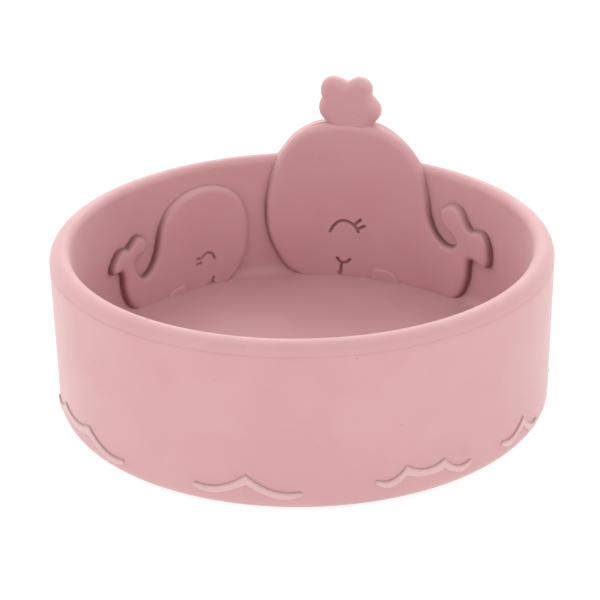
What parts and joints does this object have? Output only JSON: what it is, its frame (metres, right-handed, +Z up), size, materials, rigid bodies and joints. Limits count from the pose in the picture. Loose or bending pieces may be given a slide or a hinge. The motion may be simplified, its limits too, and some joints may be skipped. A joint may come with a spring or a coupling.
{
  "type": "suction bowl",
  "caption": "Round straight-walled silicone baby bowl with a suction foot, whale reliefs inside its wall, a whale head and spout rising above its rim, and wave reliefs round its base.",
  "frame": {"origin": "on the table under the bowl's axis, the centre of the bottom of its bounding box", "axes": "+Z up along the bowl's axis, +Y from the axis towards the big whale's spout and the release tab"},
  "size_m": [0.13, 0.13, 0.0697],
  "materials": {
    "bowl_silicone": "matte moulded silicone, dusty pink",
    "whale_silicone": "matte moulded silicone, dusty pink",
    "foot_silicone": "smooth silicone, dusty pink"
  },
  "bodies": {
    "foot": {"suction_lip": "foot_silicone", "suction_membrane": "foot_silicone"},
    "bowl": {"bowl_shell": "bowl_silicone", "big_whale": "whale_silicone", "big_whale_fin": "whale_silicone", "big_whale_spout": "whale_silicone", "small_whale": "whale_silicone", "small_whale_fin": "whale_silicone", "wave_1": "bowl_silicone", "wave_2": "bowl_silicone", "wave_3": "bowl_silicone", "wave_4": "bowl_silicone", "wave_5": "bowl_silicone", "wave_6": "bowl_silicone", "wave_7": "bowl_silicone", "wave_8": "bowl_silicone", "suction_hub": "foot_silicone"},
    "tab": {"release_tab": "foot_silicone"}
  },
  "joints": [
    {"name": "press_down", "type": "slide", "parent": "foot", "child": "bowl", "axis": [0, 0, -1], "range_m": [0, 0.001], "stiffness_N_per_m": 8000, "springref_m": -0.0003, "deforming": ["suction_membrane"]},
    {"name": "release_tab_lift", "type": "hinge", "parent": "foot", "child": "tab", "pos_m": [0, 0.0578, 0.0009], "axis": [1, 0, 0], "range_deg": [0, 30], "stiffness_Nm_per_rad": 0.01}
  ]
}
